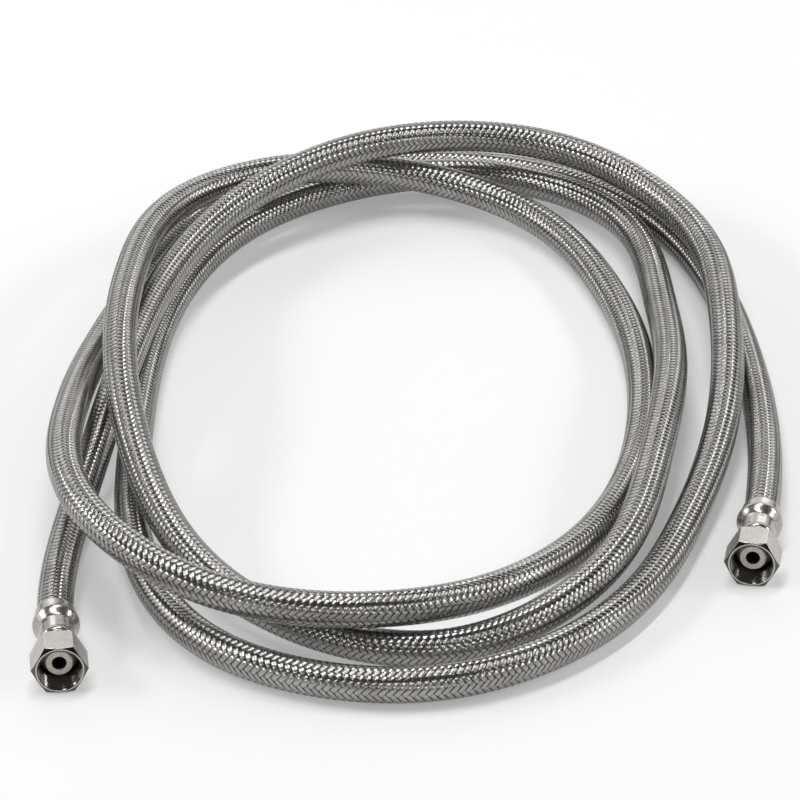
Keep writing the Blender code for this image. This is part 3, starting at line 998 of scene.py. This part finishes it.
class SUPPLY_OT_core(bpy.types.Operator):
    """Make the dark tube of painted shade under the weave, and the inner tube, along the whole hose."""

    bl_idname = "supply.core"
    bl_label = "Hose core"

    def execute(self, context):
        hose, finish = context.scene.supply_hose, context.scene.supply_finish
        core = hose_layer("painted_shade_tube", hose.shade_tube_radius, CRIMPED_SHADE_TUBE, SHADE_TUBE_WALL, SHADE_TUBE_STEP)
        material = shared_material("weave_shade", shade_material, finish)
        put_on(core, HOSE_BODY, material, "braided_stainless", "braided_sleeve")
        liner = hose_layer("liner_tube", LINER_RADIUS, CRIMPED_LINER, LINER_WALL, LINER_STEP)
        material = shared_material("milky_liner", liner_material, finish)
        put_on(liner, HOSE_BODY, material, "white_liner", "inner_tube")
        return {"FINISHED"}


class SUPPLY_OT_braid(bpy.types.Operator):
    """Weave the wire bundles over the dark tube of painted shade: half of the carriers turn each way.
    """

    bl_idname = "supply.braid"
    bl_label = "Braid"

    def execute(self, context):
        hose, finish = context.scene.supply_hose, context.scene.supply_finish
        material = shared_material("woven_wire", wire_material, finish)
        hidden = BEAD_END - BRAID_TUCK - HOSE_START
        half = CARRIERS // 2
        end = LINE.length - hidden
        for turn, direction in (("right", 1), ("left", -1)):
            for number in range(2):
                carriers = range(number * half, (number + 1) * half)
                points, values = bundle_points(hose, direction, carriers, hidden, end)
                piece = new_mesh(f"braid_{turn}_hand_{number + 1}", points, attributes=values)
                put_on(piece, HOSE_BODY, material, "braided_stainless")
        return {"FINISHED"}


class SUPPLY_OT_nuts(bpy.types.Operator):
    """Make both swivel nuts, with turned ends and a real internal thread."""

    bl_idname = "supply.nuts"
    bl_label = "Swivel nuts"

    def execute(self, context):
        sizes, finish = context.scene.supply_fittings, context.scene.supply_finish
        angle, rows = nut_rows(sizes)
        metal = shared_metal("nickel_satin", finish.nickel, *NICKEL_FINISH)
        for side in SIDES:
            piece = turned_piece("swivel_nut_" + side, FITTINGS[side], rows, angle)
            put_on(piece, side + "_nut", metal, "nickel_plate", "coupling_nut_" + side)
        return {"FINISHED"}


class SUPPLY_OT_ferrules(bpy.types.Operator):
    """Make both crimped ferrules, with shoulder, pressed flats, bead and skirt."""

    bl_idname = "supply.ferrules"
    bl_label = "Ferrules"

    def execute(self, context):
        sizes, finish = context.scene.supply_fittings, context.scene.supply_finish
        angle, rows = ferrule_rows(sizes, COLUMNS_PER_FACE * sizes.crimp_faces)
        metal = shared_metal("pressed_satin", finish.pressed, *PRESSED_FINISH)
        for side in SIDES:
            piece = turned_piece("crimped_ferrule_" + side, FITTINGS[side], rows, angle)
            put_on(piece, HOSE_BODY, metal, "pressed_stainless", "ferrule_" + side)
        return {"FINISHED"}


class SUPPLY_OT_seals(bpy.types.Operator):
    """Make both cone seals, and finish the turned inserts behind them."""

    bl_idname = "supply.seals"
    bl_label = "Seals and inserts"

    def execute(self, context):
        finish = context.scene.supply_finish
        angle = np.arange(SEAL_COLUMNS) * math.tau / SEAL_COLUMNS
        shoulder = SEAL_BACK - (SEAL_BACK - SEAL_FRONT) / 3
        corners = [
            (SEAL_HOLE, SEAL_FRONT, HOLE_ROUNDING),
            (SEAL_FACE, SEAL_FRONT, SEAL_ROUNDING),
            (SEAL_EDGE, shoulder, SEAL_ROUNDING),
            (SEAL_EDGE, SEAL_BACK, 0.0),
            (SEAL_HOLE, SEAL_BACK, 0.0),
        ]
        rows = shaded(rounded_profile(corners, len(angle)), 0.0)
        material = shared_material("moulded_seal", seal_material, finish)
        # The inserts take the darkened brass: painted shade
        shaded_brass = shared_metal("brass_turned", finish.shaded_brass, *BRASS_FINISH)
        for side in SIDES:
            piece = turned_piece("seal_ring_" + side, FITTINGS[side], rows, angle)
            put_on(piece, HOSE_BODY, material, "pale_seal", "cone_seal_" + side)
            node = frame["nodes"]["insert_" + side]
            node.data.materials.clear()
            node.data.materials.append(shaded_brass)
        return {"FINISHED"}


class SUPPLY_OT_declare(bpy.types.Operator):
    """Gathers the names of the braid's and the right fitting's pieces and a point on the left fitting's
    axis, and does nothing with them.
    """

    bl_idname = "supply.declare"
    bl_label = "Hose as a cord"

    def execute(self, context):
        turns = ("right", "left")
        names = [f"braid_{turn}_hand_{number}" for turn in turns for number in (1, 2)]
        names += ["swivel_nut_right", "crimped_ferrule_right", "seal_ring_right", "insert_right"]
        FITTINGS["left"].on_axis(FERRULE_END)
        return {"FINISHED"}


def turned_towards(place, aim):
    """The angles of a light or a camera at a place that looks at its aim."""
    return (Vector(aim) - Vector(place)).to_track_quat("-Z", "Y").to_euler()


def light_panel(name, place, width, height, brightness):
    """A soft panel at a place, turned to the part. The energy gives it that brightness all over."""
    light = bpy.data.lights.new(name, "AREA")
    light.shape = "RECTANGLE"
    light.size = width
    light.size_y = height
    light.energy = brightness * math.pi * width * height
    panel = bpy.data.objects.new(name, light)
    bpy.context.scene.collection.objects.link(panel)
    panel.location = place
    panel.rotation_euler = turned_towards(place, LIGHT_AIM)


def floor_material():
    """White floor: it takes the shadow, and glows a little for camera, gloss and glass rays."""
    material, graph, shader = new_material("white_floor", FLOOR_COLOUR, roughness=0.9, metallic=0.0)
    shader.inputs["Specular IOR Level"].default_value = 0.0
    place = graph.add("ShaderNodeTexCoord").outputs["Object"]
    paper = graph.noise(place, 900.0, 3.0, 0.6)
    bump(graph, shader, paper, PAPER_RELIEF, 0.1)
    rays = graph.add("ShaderNodeLightPath")
    seen = graph.maths("MAXIMUM", rays.outputs["Is Camera Ray"], rays.outputs["Is Glossy Ray"])
    seen = graph.maths("MAXIMUM", seen, rays.outputs["Is Transmission Ray"])
    shader.inputs["Emission Color"].default_value = (1.0, 1.0, 1.0, 1.0)
    graph.join(graph.maths("MULTIPLY", seen, FLOOR_GLOW), shader.inputs["Emission Strength"])
    return material


class SUPPLY_OT_stage(bpy.types.Operator):
    """Make the white floor, the soft panels of light and the camera."""

    bl_idname = "supply.stage"
    bl_label = "Floor, lights and camera"

    def execute(self, context):
        scene = context.scene
        corners = np.array([[-1, -1], [1, -1], [-1, 1], [1, 1]]) * FLOOR_REACH
        points = np.c_[corners, np.full(4, -FLOOR_DROP)].reshape(1, 2, 2, 3)
        floor = new_mesh("floor", points)
        floor.data.materials.append(floor_material())
        for panel in LIGHTS:
            light_panel(*panel)

        world = scene.world or bpy.data.worlds.new("studio")
        scene.world = world
        world.use_nodes = True
        background = world.node_tree.nodes["Background"]
        background.inputs["Color"].default_value = (1.0, 1.0, 1.0, 1.0)
        background.inputs["Strength"].default_value = SKY_GLOW

        lens = bpy.data.cameras.new("camera")
        lens.lens = LENS_MM
        lens.sensor_width = SENSOR_MM
        lens.clip_start = CLIP_NEAR
        lens.clip_end = CLIP_FAR
        camera = bpy.data.objects.new("camera", lens)
        scene.collection.objects.link(camera)
        camera.location = CAMERA_PLACE
        camera.rotation_euler = turned_towards(CAMERA_PLACE, CAMERA_AIM)
        scene.camera = camera
        scene.view_settings.view_transform = "Standard"
        return {"FINISHED"}


class SUPPLY_PT_panel(bpy.types.Panel):
    """The sizes, the colours and the steps, in order."""

    bl_label = "Supply line"
    bl_space_type = "VIEW_3D"
    bl_region_type = "UI"
    bl_category = "Supply line"

    def draw(self, context):
        for name in SETTINGS:
            settings = getattr(context.scene, name)
            box = self.layout.box()
            for key in settings.__annotations__:
                box.prop(settings, key)
        for step in STEPS:
            self.layout.operator(step.bl_idname)


STEPS = (
    SUPPLY_OT_stage,
    SUPPLY_OT_core,
    SUPPLY_OT_braid,
    SUPPLY_OT_nuts,
    SUPPLY_OT_ferrules,
    SUPPLY_OT_seals,
    SUPPLY_OT_declare,
)
SETTINGS = {
    "supply_hose": HoseSettings,
    "supply_fittings": FittingSettings,
    "supply_finish": FinishSettings,
}
CLASSES = (*SETTINGS.values(), *STEPS, SUPPLY_PT_panel)


def register():
    """Add the settings, the steps and the panel."""
    for kind in CLASSES:
        bpy.utils.register_class(kind)
    for name, settings in SETTINGS.items():
        setattr(bpy.types.Scene, name, PointerProperty(type=settings))


def unregister():
    """Take them out again."""
    for name in SETTINGS:
        delattr(bpy.types.Scene, name)
    for kind in reversed(CLASSES):
        bpy.utils.unregister_class(kind)


def main():
    """Run every step in order."""
    register()
    bpy.ops.supply.stage()
    bpy.ops.supply.core()
    bpy.ops.supply.braid()
    bpy.ops.supply.nuts()
    bpy.ops.supply.ferrules()
    bpy.ops.supply.seals()
    bpy.ops.supply.declare()


if __name__ == "__main__":
    main()
